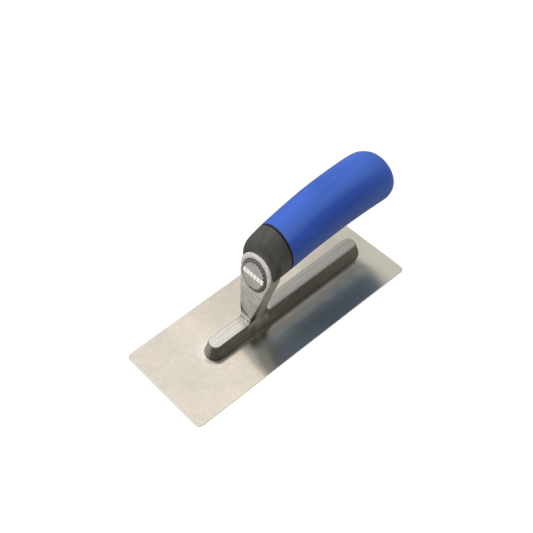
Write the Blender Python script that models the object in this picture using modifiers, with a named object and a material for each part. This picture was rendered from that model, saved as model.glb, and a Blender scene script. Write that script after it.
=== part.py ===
"""Small finishing trowel with a cast shank and a soft-grip handle.

World frame, metres: +X towards the toe of the blade, +Y to the left hand of
someone looking along +X, +Z up.  The origin is the centre of the blade's
working face, and the tool is symmetric about the plane Y = 0.
"""
import math

import bmesh
import bpy
from mathutils import Matrix, Vector

MM = 0.001
GAP = 0.3 * MM                      # clearance between touching pieces

# ---------------------------------------------------------------- dimensions
BLADE_LENGTH = 200.0 * MM
BLADE_WIDTH = 83.0 * MM
BLADE_THICKNESS = 0.7 * MM
BLADE_CORNER = 4.0 * MM

BAR_BOTTOM = BLADE_THICKNESS + GAP
BAR_TOP = 10.8 * MM
BAR_TOE = (58.9 * MM, 54.0 * MM)    # X of the toe end at the base, at the top
BAR_HEEL = (-89.5 * MM, -87.0 * MM)  # X of the heel end at the base, at the top
BAR_HALF = (8.5 * MM, 5.4 * MM)     # half width at the base, at the top
BAR_CORNER = (8.3 * MM, 4.6 * MM)   # corner radius at the base, at the top
BAR_EDGE = 0.4 * MM                 # softened rim of the top

RIVET_COUNT = 7
RIVET_PITCH = 22.0 * MM
RIVET_MIDDLE = -15.45 * MM
RIVET_SHANK = 2.0 * MM
RIVET_HEAD = 3.0 * MM
RIVET_TOP = 8.0 * MM

FACE_LEAN = math.radians(18.9)      # the neck's front face leans back
FACE_CENTRE = Vector((8.9 * MM, 0.0, 50.5 * MM))
NECK_THICKNESS = 10.0 * MM
BOSS_HALF = 15.6 * MM
BOSS_SHOULDER = 2.0 * MM            # height where the boss is widest
BOSS_TOP = 16.0 * MM
BOSS_SQUARENESS = 2.3
# half width of the neck at heights below the boss, along the leaning face
NECK_TAPER = ((2.0, 15.6), (-2.5, 14.8), (-9.0, 12.95), (-17.0, 11.2),
              (-25.5, 9.1), (-32.5, 7.1), (-38.5, 5.4))
RECESS_RADIUS = 12.7 * MM
RECESS_DEPTH = 1.4 * MM
BADGE_RADIUS = 12.4 * MM
BADGE_LABEL = 11.25 * MM
BADGE_TOP = 1.15 * MM            # the badge stands proud of the face
POCKET_TOP_ROOM = 0.5 * MM          # extra room over the boss in the collar

# handle stations: X, centre height, half height, half width
HANDLE = ((4.0, 59.9, 16.2, 18.2), (-4.0, 61.7, 18.0, 18.4),
          (-12.0, 63.0, 18.7, 18.7), (-32.0, 66.2, 19.2, 19.2),
          (-52.0, 68.3, 19.8, 19.8), (-74.0, 69.1, 20.2, 20.2),
          (-96.0, 68.5, 20.6, 20.4), (-110.0, 66.8, 19.7, 20.4))
NOSE_X = 3.8 * MM                   # front of the collar
NOSE_ROUND = 3.0 * MM
NOSE_LEAN = FACE_LEAN               # cut parallel to the boss's face
SEAM_X = -11.1 * MM                 # joint between collar and soft grip
SEAM_LEAN = math.radians(6.4)
SEAM_HALF_GAP = 0.35 * MM
BUTT_CAP = -101.6 * MM              # where the butt dome starts
BUTT_END = -116.2 * MM
BUTT_POWER = 0.55
CORE_END = -110.5 * MM
GRIP_WALL = 3.0 * MM
GRIP_HOLE = 10.3 * MM
RING = 48                           # points round the handle

ROD_RADIUS = 4.0 * MM
ROD_FRONT = -0.8 * MM
ROD_REAR = -107.6 * MM
ROD_AXIS_AT = Vector((-112.0 * MM, 0.0, 66.8 * MM))
ROD_RISE = math.radians(4.2)
SPIGOT_RADIUS = 8.0 * MM
SPIGOT_END = -18.0 * MM
POCKET_RADIUS = 9.0 * MM
POCKET_FLOOR = -97.9 * MM
WASHER_RADIUS = 8.2 * MM
WASHER_THICKNESS = 1.6 * MM
NUT_FLATS = 13.0 * MM
NUT_HEIGHT = 6.5 * MM
PLUG_RADIUS = 10.0 * MM


# ------------------------------------------------------------------- helpers
for old in list(bpy.data.objects):
    bpy.data.objects.remove(old, do_unlink=True)

PARTS = bpy.data.collections.new("finishing_trowel")
CUTTERS = bpy.data.collections.new("cutters")
bpy.context.scene.collection.children.link(PARTS)
bpy.context.scene.collection.children.link(CUTTERS)


def material(name, colour, roughness, metallic):
    mat = bpy.data.materials.new(name)
    mat.use_nodes = True
    shader = mat.node_tree.nodes["Principled BSDF"]
    shader.inputs["Base Color"].default_value = (*colour, 1.0)
    shader.inputs["Roughness"].default_value = roughness
    shader.inputs["Metallic"].default_value = metallic
    return mat


STAINLESS = material("stainless_blade", (0.66, 0.63, 0.58), 0.28, 1.0)
CAST_ALLOY = material("cast_alloy", (0.55, 0.54, 0.52), 0.5, 1.0)
RIVET_STEEL = material("rivet_steel", (0.62, 0.61, 0.59), 0.3, 1.0)
ZINC_STEEL = material("zinc_steel", (0.6, 0.6, 0.6), 0.35, 1.0)
GREY_NYLON = material("grey_nylon", (0.07, 0.07, 0.065), 0.6, 0.0)
BLUE_RUBBER = material("blue_soft_rubber", (0.03, 0.12, 0.52), 0.5, 0.0)
BADGE_DARK = material("badge_dark_plastic", (0.05, 0.05, 0.05), 0.5, 0.0)
BADGE_GREY = material("badge_grey_film", (0.35, 0.35, 0.35), 0.4, 0.3)


def add(name, mesh, mat, matrix=None, collection=PARTS):
    """Link a mesh as a named object with its material."""
    obj = bpy.data.objects.new(name, mesh)
    if matrix is not None:
        obj.matrix_world = matrix
    if mat is not None:
        mesh.materials.clear()
        mesh.materials.append(mat)
    collection.objects.link(obj)
    return obj


def cutter(name, mesh, matrix=None):
    obj = add(name, mesh, None, matrix, CUTTERS)
    obj.hide_render = True
    obj.display_type = 'WIRE'
    return obj


def boolean(obj, operation, other):
    mod = obj.modifiers.new(other.name, 'BOOLEAN')
    mod.operation = operation
    mod.object = other
    return mod


def cylinder_mesh(name, radius, length, segments=32, radius_top=None):
    """Cylinder or cone along local +Z from z = 0."""
    bm = bmesh.new()
    bmesh.ops.create_cone(
        bm, cap_ends=True, segments=segments, radius1=radius,
        radius2=radius if radius_top is None else radius_top, depth=length,
        matrix=Matrix.Translation((0, 0, length / 2)))
    mesh = bpy.data.meshes.new(name)
    bm.to_mesh(mesh)
    bm.free()
    return mesh


def turned(name, profile, mat, matrix, steps=32):
    """Profile of (radius, height) from the top of the axis down, screwed."""
    mesh = bpy.data.meshes.new(name)
    mesh.from_pydata([(r, 0.0, z) for r, z in profile],
                     [(i, i + 1) for i in range(len(profile) - 1)], [])
    obj = add(name, mesh, mat, matrix)
    mod = obj.modifiers.new("turn", 'SCREW')
    mod.steps = mod.render_steps = steps
    mod.use_merge_vertices = True
    mod.merge_threshold = 0.00001
    mod.use_smooth_shade = True
    return obj


def outline_mesh(name, points, half_thickness):
    """Closed flat outline in local XY, thickened both ways along local Z."""
    curve = bpy.data.curves.new(name, 'CURVE')
    curve.dimensions = '2D'
    curve.fill_mode = 'BOTH'
    curve.extrude = half_thickness
    spline = curve.splines.new('POLY')
    spline.points.add(len(points) - 1)
    for point, (x, y) in zip(spline.points, points):
        point.co = (x, y, 0.0, 1.0)
    spline.use_cyclic_u = True
    holder = bpy.data.objects.new(name, curve)
    CUTTERS.objects.link(holder)
    bpy.context.view_layer.update()
    graph = bpy.context.evaluated_depsgraph_get()
    mesh = bpy.data.meshes.new_from_object(holder.evaluated_get(graph))
    bpy.data.objects.remove(holder)
    bm = bmesh.new()
    bm.from_mesh(mesh)
    bmesh.ops.remove_doubles(bm, verts=bm.verts, dist=0.00001)
    bmesh.ops.recalc_face_normals(bm, faces=bm.faces)
    bm.to_mesh(mesh)
    bm.free()
    return mesh


def leaning(centre, lean):
    """Frame whose local X is +Y, local Y climbs the leaning plane and local
    Z is the plane's forward normal."""
    s, c = math.sin(lean), math.cos(lean)
    frame = Matrix(((0.0, -s, c, centre[0]), (1.0, 0.0, 0.0, centre[1]),
                    (0.0, c, s, centre[2]), (0.0, 0.0, 0.0, 1.0)))
    return frame


def hermite(table, x):
    """Smooth value through the rows of a table sorted by falling X."""
    rows = [[value * MM for value in row] for row in table]
    if x >= rows[0][0]:
        i, x = 0, rows[0][0]
    elif x <= rows[-1][0]:
        i, x = len(rows) - 2, rows[-1][0]
    else:
        i = max(k for k in range(len(rows) - 1) if rows[k][0] >= x)
    left, right = rows[i], rows[i + 1]
    span = right[0] - left[0]
    t = (x - left[0]) / span

    def slope(k, column):
        a, b = max(k - 1, 0), min(k + 1, len(rows) - 1)
        return (rows[b][column] - rows[a][column]) / (rows[b][0] - rows[a][0])

    values = []
    for column in range(1, len(left)):
        h00, h10 = 2 * t**3 - 3 * t**2 + 1, t**3 - 2 * t**2 + t
        h01, h11 = -2 * t**3 + 3 * t**2, t**3 - t**2
        values.append(h00 * left[column] + h10 * span * slope(i, column)
                      + h01 * right[column] + h11 * span * slope(i + 1, column))
    return values


def ring(x, lean=0.0, inset=0.0, shrink=1.0, radius=None, at=None):
    """One section of the handle: frame, half height, half width."""
    z, half_height, half_width = hermite(HANDLE, at if at is not None else x)
    if radius is not None:
        half_height = half_width = radius
    else:
        half_height = (half_height - inset) * shrink
        half_width = (half_width - inset) * shrink
    frame = leaning((x, 0.0, z), lean)
    return frame, half_height / math.cos(lean), half_width


def loft(name, rings, closed, mat):
    """Skin a row of handle sections; closed joins the last to the first."""
    bm = bmesh.new()
    loops = []
    for frame, half_height, half_width in rings:
        loops.append([
            bm.verts.new(frame @ Vector((half_width * math.sin(a),
                                         half_height * math.cos(a), 0.0)))
            for a in (2 * math.pi * k / RING for k in range(RING))])
    pairs = list(zip(loops, loops[1:] + loops[:1] if closed else loops[1:]))
    for one, two in pairs:
        for k in range(RING):
            j = (k + 1) % RING
            bm.faces.new((one[k], one[j], two[j], two[k]))
    if not closed:
        bm.faces.new(loops[0])
        bm.faces.new(loops[-1])
    bmesh.ops.recalc_face_normals(bm, faces=bm.faces)
    for face in bm.faces:
        face.smooth = True
    mesh = bpy.data.meshes.new(name)
    bm.to_mesh(mesh)
    bm.free()
    mesh.set_sharp_from_angle(angle=math.radians(35))
    return add(name, mesh, mat)


def spread(start, stop, count):
    return [start + (stop - start) * k / (count - 1) for k in range(count)]


def rod_point(x):
    return Vector((x, 0.0, ROD_AXIS_AT.z
                   - (x - ROD_AXIS_AT.x) * math.tan(ROD_RISE)))


def rod_frame(x):
    """Frame on the rod's axis with local Z running to the rear and up."""
    direction = Vector((-math.cos(ROD_RISE), 0.0, math.sin(ROD_RISE)))
    turn = direction.to_track_quat('Z', 'Y').to_matrix().to_4x4()
    return Matrix.Translation(rod_point(x)) @ turn


# --------------------------------------------------------------------- blade
bm = bmesh.new()
bmesh.ops.create_cube(
    bm, size=1.0,
    matrix=Matrix.Translation((0, 0, BLADE_THICKNESS / 2))
    @ Matrix.Diagonal((BLADE_LENGTH, BLADE_WIDTH, BLADE_THICKNESS, 1.0)))
corners = [e for e in bm.edges
           if abs((e.verts[0].co - e.verts[1].co).z) > BLADE_THICKNESS / 2]
bmesh.ops.bevel(bm, geom=corners, offset=BLADE_CORNER, segments=6,
                profile=0.5, affect='EDGES')
mesh = bpy.data.meshes.new("blade")
bm.to_mesh(mesh)
bm.free()
blade = add("blade", mesh, STAINLESS)

rivet_places = [RIVET_MIDDLE + (k - (RIVET_COUNT - 1) / 2) * RIVET_PITCH
                for k in range(RIVET_COUNT)]
for number, x in enumerate(rivet_places, 1):
    slope = (RIVET_HEAD - RIVET_SHANK) / BLADE_THICKNESS
    low, high = -0.5 * MM, BLADE_THICKNESS + 0.5 * MM
    sink = cylinder_mesh("countersink", RIVET_HEAD + GAP - slope * low,
                         high - low, 20, RIVET_HEAD + GAP - slope * high)
    boolean(blade, 'DIFFERENCE',
            cutter("countersink_%d" % number, sink,
                   Matrix.Translation((x, 0.0, low))))

# -------------------------------------------------------------------- rivets
for number, x in enumerate(rivet_places, 1):
    turned("blade_rivet_%d" % number,
           [(0.0, RIVET_TOP), (RIVET_SHANK - 0.4 * MM, RIVET_TOP),
            (RIVET_SHANK, RIVET_TOP - 0.4 * MM),
            (RIVET_SHANK, BLADE_THICKNESS), (RIVET_HEAD, 0.0), (0.0, 0.0)],
           RIVET_STEEL, Matrix.Translation((x, 0.0, 0.0)), 20)

# ------------------------------------------------------------- shank casting
# Foot bar: the hull of rounded outlines, wide at the base, narrow on top.
def rounded_outline(heel, toe, half, corner, z):
    """Corner points of a rounded rectangle at height z."""
    points = []
    for cx, sx in ((toe - corner, 1), (heel + corner, -1)):
        for sy in (1, -1):
            for k in range(8):
                a = math.pi / 2 * k / 7
                points.append((cx + sx * corner * math.cos(a),
                               sy * (half - corner + corner * math.sin(a)),
                               z))
    return points


bm = bmesh.new()
for heel, toe, half, corner, z in (
        (BAR_HEEL[0], BAR_TOE[0], BAR_HALF[0], BAR_CORNER[0], BAR_BOTTOM),
        (BAR_HEEL[1], BAR_TOE[1], BAR_HALF[1], BAR_CORNER[1],
         BAR_TOP - BAR_EDGE),
        (BAR_HEEL[1] + BAR_EDGE, BAR_TOE[1] - BAR_EDGE,
         BAR_HALF[1] - BAR_EDGE, BAR_CORNER[1] - BAR_EDGE, BAR_TOP)):
    for point in rounded_outline(heel, toe, half, corner, z):
        bm.verts.new(point)
bmesh.ops.convex_hull(bm, input=bm.verts, use_existing_faces=False)
bmesh.ops.dissolve_limit(bm, angle_limit=math.radians(0.5), verts=bm.verts,
                         edges=bm.edges)
bmesh.ops.recalc_face_normals(bm, faces=bm.faces)
mesh = bpy.data.meshes.new("shank_casting")
bm.to_mesh(mesh)
bm.free()
casting = add("shank_casting", mesh, CAST_ALLOY)

# Neck: the front outline carried back, trimmed by the side outline.
face = leaning(FACE_CENTRE, FACE_LEAN)


def neck_outline(grow, lift=0.0):
    """Half of the outline mirrored: a squared round boss on a long taper."""
    power = 2.0 / BOSS_SQUARENESS
    half = []
    for k in range(13):
        a = math.pi / 2 * (1 - k / 12)
        half.append(((BOSS_HALF + grow) * math.cos(a)**power,
                     BOSS_SHOULDER + (BOSS_TOP + grow + lift - BOSS_SHOULDER)
                     * math.sin(a)**power))
    half[0] = (0.0, half[0][1])
    last = NECK_TAPER[-1][0] * MM
    for y in spread(BOSS_SHOULDER, last, 18)[1:]:
        half.append((hermite(NECK_TAPER, y)[0] + grow, y))
    half.append((half[-1][0], -46.0 * MM))
    return half + [(-x, y) for x, y in reversed(half[1:])]


def plate(name, grow, front, back, lift=0.0):
    """Neck outline as a solid between two depths behind the front face."""
    mesh = outline_mesh(name, neck_outline(grow, lift), (back - front) / 2)
    mesh.transform(Matrix.Translation((0, 0, -(front + back) / 2)))
    mesh.transform(face)
    return mesh


front_view = plate("neck_front_view", 0.0, 0.0, 26.0 * MM)
bm = bmesh.new()
bm.from_mesh(front_view)
normal = face.to_3x3() @ Vector((0, 0, 1))
edges = [e for e in bm.edges
         if all(abs((v.co - FACE_CENTRE).dot(normal)) < MM / 100
                for v in e.verts)
         and len(e.link_faces) == 2
         and e.calc_face_angle(0.0) > math.radians(40)]
bmesh.ops.bevel(bm, geom=edges, offset=0.9 * MM, segments=3, profile=0.5,
                affect='EDGES')
bmesh.ops.recalc_face_normals(bm, faces=bm.faces)
bm.to_mesh(front_view)
bm.free()
neck = cutter("neck_front_view", front_view)


def on_face(z, depth=0.0):
    """X of the leaning face, or of a plane behind it, at height z."""
    return (FACE_CENTRE.x - (z - FACE_CENTRE.z) * math.tan(FACE_LEAN)
            - depth / math.cos(FACE_LEAN))


side = [(on_face(70 * MM, -2 * MM), 70 * MM),
        (on_face(14.2 * MM, -2 * MM), 14.2 * MM),
        (on_face(14.2 * MM), 14.2 * MM)]
# small concave fillet from the face's foot down to the bar's top
for k in range(1, 5):
    a = math.radians(90 * k / 4)
    side.append((on_face(14.2 * MM) + 3.6 * MM * (1 - math.cos(a)),
                 14.2 * MM - 3.4 * MM * math.sin(a)))
side += [(side[-1][0], 5.0 * MM), (2.6 * MM, 5.0 * MM), (2.6 * MM, BAR_TOP)]
# rear fillet, then the nearly upright foot, then the leaning rear face
for k in range(1, 5):
    a = math.radians(90 * k / 4)
    side.append((2.6 * MM + 4.0 * MM * math.sin(a),
                 BAR_TOP + 4.0 * MM * (1 - math.cos(a))))
side += [(6.6 * MM, 20.0 * MM), (6.2 * MM, 25.5 * MM),
         (on_face(31.0 * MM, NECK_THICKNESS), 31.0 * MM),
         (on_face(70 * MM, NECK_THICKNESS), 70 * MM)]
side_view = outline_mesh("neck_side_view", side, 24.0 * MM)
side_view.transform(Matrix.Rotation(math.pi / 2, 4, 'X'))
boolean(neck, 'INTERSECT', cutter("neck_side_view", side_view))
boolean(casting, 'UNION', neck)

# Spigot behind the boss that keys into the handle, and the bores.
spigot = cylinder_mesh("spigot", SPIGOT_RADIUS,
                       (rod_point(-2 * MM) - rod_point(SPIGOT_END)).length, 32)
boolean(casting, 'UNION', cutter("spigot", spigot, rod_frame(-2 * MM)))
bore = cylinder_mesh("rod_bore", ROD_RADIUS + GAP, 30 * MM, 32)
boolean(casting, 'DIFFERENCE', cutter("rod_bore", bore, rod_frame(-0.5 * MM)))
recess = cylinder_mesh("badge_recess", RECESS_RADIUS, RECESS_DEPTH + 4 * MM, 48)
boolean(casting, 'DIFFERENCE',
        cutter("badge_recess", recess,
               face @ Matrix.Translation((0, 0, -RECESS_DEPTH))))
for number, x in enumerate(rivet_places, 1):
    hole = cylinder_mesh("rivet_hole", RIVET_SHANK + GAP,
                         RIVET_TOP + GAP, 20)
    boolean(casting, 'DIFFERENCE',
            cutter("rivet_hole_%d" % number, hole,
                   Matrix.Translation((x, 0.0, 0.0))))

# --------------------------------------------------------------------- badge
turned("badge_cap",
       [(0.0, 0.5 * MM), (BADGE_LABEL + 0.25 * MM, 0.5 * MM),
        (BADGE_RADIUS, 0.05 * MM), (BADGE_RADIUS, -1.1 * MM), (0.0, -1.1 * MM)],
       BADGE_DARK, face, 48)
turned("badge_label",
       [(0.0, BADGE_TOP), (BADGE_LABEL - 0.25 * MM, BADGE_TOP),
        (BADGE_LABEL, BADGE_TOP - 0.2 * MM), (BADGE_LABEL, 0.8 * MM),
        (0.0, 0.8 * MM)],
       BADGE_GREY, face, 48)

# ------------------------------------------------ handle core and its collar
seam_front = SEAM_X + SEAM_HALF_GAP
seam_rear = SEAM_X - SEAM_HALF_GAP
rings = []
for k in range(5):                       # rounded front edge
    a = math.pi / 2 * k / 4
    rings.append(ring(NOSE_X - NOSE_ROUND * (1 - math.sin(math.pi / 2 - a)),
                      NOSE_LEAN, NOSE_ROUND * (1 - math.sin(a))))
for x in spread(NOSE_X - NOSE_ROUND, seam_front, 6)[1:-1]:
    part = (x - NOSE_X) / (seam_front - NOSE_X)
    rings.append(ring(x, NOSE_LEAN + (SEAM_LEAN - NOSE_LEAN) * part))
rings.append(ring(seam_front + 0.7 * MM, SEAM_LEAN))
rings.append(ring(seam_front, SEAM_LEAN, 0.7 * MM))
rings.append(ring(seam_front, SEAM_LEAN, GRIP_WALL + GAP))
for x in spread(-14 * MM, BUTT_CAP, 10):
    rings.append(ring(x, 0.0, GRIP_WALL + GAP))
reach = BUTT_END + GRIP_WALL + GAP - BUTT_CAP
last = math.asin((CORE_END - BUTT_CAP) / reach)
for k in range(1, 6):                    # domed rear end, cut flat
    a = last * k / 5
    rings.append(ring(BUTT_CAP + reach * math.sin(a), 0.0, GRIP_WALL + GAP,
                      math.cos(a)**BUTT_POWER))
core = loft("handle_core", rings, False, GREY_NYLON)
boss_room = plate("boss_room", 0.4 * MM, -8.0 * MM, NECK_THICKNESS + GAP,
                  POCKET_TOP_ROOM)
boolean(core, 'DIFFERENCE', cutter("boss_room", boss_room))
spigot_room = cylinder_mesh(
    "spigot_room", SPIGOT_RADIUS + GAP,
    (rod_point(-2 * MM) - rod_point(SPIGOT_END - GAP)).length, 32)
boolean(core, 'DIFFERENCE', cutter("spigot_room", spigot_room,
                                   rod_frame(-2 * MM)))
long_bore = cylinder_mesh("long_bore", ROD_RADIUS + GAP, 120 * MM, 32)
boolean(core, 'DIFFERENCE', cutter("long_bore", long_bore,
                                   rod_frame(-2 * MM)))
pocket = cylinder_mesh("nut_pocket", POCKET_RADIUS, 20 * MM, 40)
boolean(core, 'DIFFERENCE', cutter("nut_pocket", pocket,
                                   rod_frame(POCKET_FLOOR)))

# ------------------------------------------------------- soft grip over core
rings = [ring(seam_rear, SEAM_LEAN, 0.7 * MM),
         ring(seam_rear - 0.7 * MM, SEAM_LEAN)]
for x in spread(-15 * MM, BUTT_CAP, 12):
    rings.append(ring(x))
reach = BUTT_END - BUTT_CAP
for k in range(1, 8):
    a = math.asin(0.93) * k / 7
    rings.append(ring(BUTT_CAP + reach * math.sin(a), 0.0, 0.0,
                      math.cos(a)**BUTT_POWER))
rings.append(ring(-115.5 * MM, radius=GRIP_HOLE))
rings.append(ring(-111.5 * MM, radius=GRIP_HOLE))
reach = BUTT_END + GRIP_WALL - BUTT_CAP
for k in range(4, 0, -1):
    a = math.asin(0.80) * k / 4
    rings.append(ring(BUTT_CAP + reach * math.sin(a), 0.0, GRIP_WALL,
                      math.cos(a)**BUTT_POWER))
for x in spread(BUTT_CAP, -14 * MM, 10):
    rings.append(ring(x, 0.0, GRIP_WALL))
rings.append(ring(seam_rear, SEAM_LEAN, GRIP_WALL))
loft("soft_grip", rings, True, BLUE_RUBBER)

# ------------------------------------------------ tang rod, washer, nut, plug
rod_length = (rod_point(ROD_FRONT) - rod_point(ROD_REAR)).length
turned("tang_rod",
       [(0.0, rod_length), (ROD_RADIUS - 0.8 * MM, rod_length),
        (ROD_RADIUS, rod_length - 0.8 * MM), (ROD_RADIUS, 0.8 * MM),
        (ROD_RADIUS - 0.8 * MM, 0.0), (0.0, 0.0)],
       ZINC_STEEL, rod_frame(ROD_FRONT), 24)


def bored(name, mesh, matrix, radius, mat):
    obj = add(name, mesh, mat, matrix)
    hole = cylinder_mesh(name + "_hole", radius, 40 * MM, 24)
    boolean(obj, 'DIFFERENCE',
            cutter(name + "_hole", hole,
                   matrix @ Matrix.Translation((0, 0, -10 * MM))))
    return obj


bored("tang_washer",
      cylinder_mesh("tang_washer", WASHER_RADIUS, WASHER_THICKNESS, 32),
      rod_frame(POCKET_FLOOR - GAP), ROD_RADIUS + 0.4 * MM, ZINC_STEEL)
bored("tang_nut",
      cylinder_mesh("tang_nut", NUT_FLATS / math.sqrt(3), NUT_HEIGHT, 6),
      rod_frame(POCKET_FLOOR - WASHER_THICKNESS - 2 * GAP),
      ROD_RADIUS + GAP, ZINC_STEEL)
plug_frame = Matrix.Translation((CORE_END - GAP, 0.0, ROD_AXIS_AT.z)) \
    @ Matrix.Rotation(-math.pi / 2, 4, 'Y')
turned("butt_plug",
       [(0.0, 5.4 * MM), (4.0 * MM, 5.35 * MM), (7.5 * MM, 5.15 * MM),
        (9.4 * MM, 4.85 * MM), (PLUG_RADIUS, 4.3 * MM), (PLUG_RADIUS, 0.0),
        (8.2 * MM, 0.0), (8.2 * MM, -2.2 * MM), (0.0, -2.2 * MM)],
       BLUE_RUBBER, plug_frame, 40)
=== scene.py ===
import math

import bmesh
import bpy
import numpy as np
from mathutils import Matrix, Vector, noise


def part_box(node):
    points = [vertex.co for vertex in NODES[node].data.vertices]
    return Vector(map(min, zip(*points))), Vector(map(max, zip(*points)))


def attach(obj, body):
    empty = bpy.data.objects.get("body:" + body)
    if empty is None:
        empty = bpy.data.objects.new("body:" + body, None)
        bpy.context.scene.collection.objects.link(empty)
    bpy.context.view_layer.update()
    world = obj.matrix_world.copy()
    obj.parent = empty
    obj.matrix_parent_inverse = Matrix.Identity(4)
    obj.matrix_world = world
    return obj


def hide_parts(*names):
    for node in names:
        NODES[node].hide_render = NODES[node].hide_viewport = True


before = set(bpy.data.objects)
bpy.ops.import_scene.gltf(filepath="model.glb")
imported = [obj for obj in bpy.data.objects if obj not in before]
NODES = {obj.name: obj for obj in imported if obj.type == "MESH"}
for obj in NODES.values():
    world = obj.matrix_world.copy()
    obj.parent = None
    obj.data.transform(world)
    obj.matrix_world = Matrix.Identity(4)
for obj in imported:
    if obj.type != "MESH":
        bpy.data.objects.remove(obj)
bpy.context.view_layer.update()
bpy.context.view_layer.update()

MM = 0.001

# ------------------------------------------------------------------ dimensions
# The same driving sizes as the CAD part, in metres.
BLADE_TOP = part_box("blade")[1].z
BLADE_LO, BLADE_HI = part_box("blade")
BAR_TOP = 10.8 * MM
FACE_LEAN = math.radians(18.9)
FACE_CENTRE = Vector((8.9 * MM, 0.0, 50.5 * MM))
FACE_NORMAL = Vector((math.cos(FACE_LEAN), 0.0, math.sin(FACE_LEAN)))
FACE_UP = Vector((-math.sin(FACE_LEAN), 0.0, math.cos(FACE_LEAN)))
NECK_THICKNESS = 10.0 * MM
BOSS_HALF, BOSS_SHOULDER, BOSS_TOP, BOSS_SQUARENESS = 15.6 * MM, 2.0 * MM, 16.0 * MM, 2.3
NECK_TAPER = ((2.0, 15.6), (-2.5, 14.8), (-9.0, 12.95), (-17.0, 11.2),
              (-25.5, 9.1), (-32.5, 7.1), (-38.5, 5.4))
BADGE_RADIUS, BADGE_LABEL, BADGE_TOP = 12.4 * MM, 11.25 * MM, 1.15 * MM
HANDLE = ((4.0, 59.9, 16.2, 18.2), (-4.0, 61.7, 18.0, 18.4),
          (-12.0, 63.0, 18.7, 18.7), (-32.0, 66.2, 19.2, 19.2),
          (-52.0, 68.3, 19.8, 19.8), (-74.0, 69.1, 20.2, 20.2),
          (-96.0, 68.5, 20.6, 20.4), (-110.0, 66.8, 19.7, 20.4))
NOSE_X, NOSE_ROUND, NOSE_LEAN = 3.8 * MM, 3.0 * MM, FACE_LEAN
SEAM_HEIGHT = 59.4 * MM
SEAM_X, SEAM_LEAN, SEAM_HALF_GAP = -11.1 * MM, math.radians(6.4), 0.35 * MM
BUTT_CAP, BUTT_END, BUTT_POWER = -101.6 * MM, -116.2 * MM, 0.55
GRIP_WALL, GRIP_HOLE = 3.0 * MM, 10.3 * MM
PLUG_RADIUS = 10.0 * MM
PLUG_AXIS = Vector((-110.8 * MM, 0.0, 66.8 * MM))
GAP = 0.3 * MM


# --------------------------------------------------------------------- meshes
def new_object(name, mesh, *materials):
    obj = bpy.data.objects.new(name, mesh)
    mesh.materials.clear()
    for mat in materials:
        mesh.materials.append(mat)
    bpy.context.scene.collection.objects.link(obj)
    return obj


def finish_bmesh(bm, name, sharp=40.0):
    bmesh.ops.recalc_face_normals(bm, faces=bm.faces)
    for face in bm.faces:
        face.smooth = True
    mesh = bpy.data.meshes.new(name)
    bm.to_mesh(mesh)
    bm.free()
    mesh.set_sharp_from_angle(angle=math.radians(sharp))
    return mesh


def leaning(centre, lean):
    """Local X is +Y, local Y climbs the leaning plane, local Z is its normal."""
    s, c = math.sin(lean), math.cos(lean)
    return Matrix(((0.0, -s, c, centre[0]), (1.0, 0.0, 0.0, centre[1]),
                   (0.0, c, s, centre[2]), (0.0, 0.0, 0.0, 1.0)))


def hermite(table, x):
    """Smooth value through the rows of a table sorted by falling X."""
    rows = [[value * MM for value in row] for row in table]
    if x >= rows[0][0]:
        i, x = 0, rows[0][0]
    elif x <= rows[-1][0]:
        i, x = len(rows) - 2, rows[-1][0]
    else:
        i = max(k for k in range(len(rows) - 1) if rows[k][0] >= x)
    left, right = rows[i], rows[i + 1]
    span = right[0] - left[0]
    t = (x - left[0]) / span

    def slope(k, column):
        a, b = max(k - 1, 0), min(k + 1, len(rows) - 1)
        return (rows[b][column] - rows[a][column]) / (rows[b][0] - rows[a][0])

    values = []
    for column in range(1, len(left)):
        h00, h10 = 2 * t**3 - 3 * t**2 + 1, t**3 - 2 * t**2 + t
        h01, h11 = -2 * t**3 + 3 * t**2, t**3 - t**2
        values.append(h00 * left[column] + h10 * span * slope(i, column)
                      + h01 * right[column] + h11 * span * slope(i + 1, column))
    return values


def spread(start, stop, count):
    return [start + (stop - start) * k / (count - 1) for k in range(count)]


def section(x, lean=0.0, inset=0.0, shrink=1.0, radius=None):
    """One section of the handle: frame, half height, half width."""
    z, half_height, half_width = hermite(HANDLE, x)
    if radius is not None:
        half_height = half_width = radius
    else:
        half_height = (half_height - inset) * shrink
        half_width = (half_width - inset) * shrink
    return leaning((x, 0.0, z), lean), half_height / math.cos(lean), half_width


def loft(name, sections, closed, around, relief=None, sharp=40.0):
    """Skin handle sections; relief(x, angle) moves a point outwards."""
    bm = bmesh.new()
    loops = []
    for place, half_height, half_width in sections:
        loop = []
        for k in range(around):
            a = 2 * math.pi * k / around
            out = relief(place.translation.x, a) if relief else 0.0
            loop.append(bm.verts.new(place @ Vector(
                ((half_width + out) * math.sin(a),
                 (half_height + out) * math.cos(a), 0.0))))
        loops.append(loop)
    for one, two in zip(loops, loops[1:] + loops[:1] if closed else loops[1:]):
        for k in range(around):
            j = (k + 1) % around
            bm.faces.new((one[k], one[j], two[j], two[k]))
    if not closed:
        bm.faces.new(loops[0])
        bm.faces.new(loops[-1])
    return finish_bmesh(bm, name, sharp)


def cylinder(name, radius, length, segments, matrix):
    bm = bmesh.new()
    bmesh.ops.create_cone(bm, cap_ends=True, segments=segments, radius1=radius,
                          radius2=radius, depth=length,
                          matrix=matrix @ Matrix.Translation((0, 0, length / 2)))
    mesh = bpy.data.meshes.new(name)
    bm.to_mesh(mesh)
    bm.free()
    return bpy.data.objects.new(name, mesh)


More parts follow.
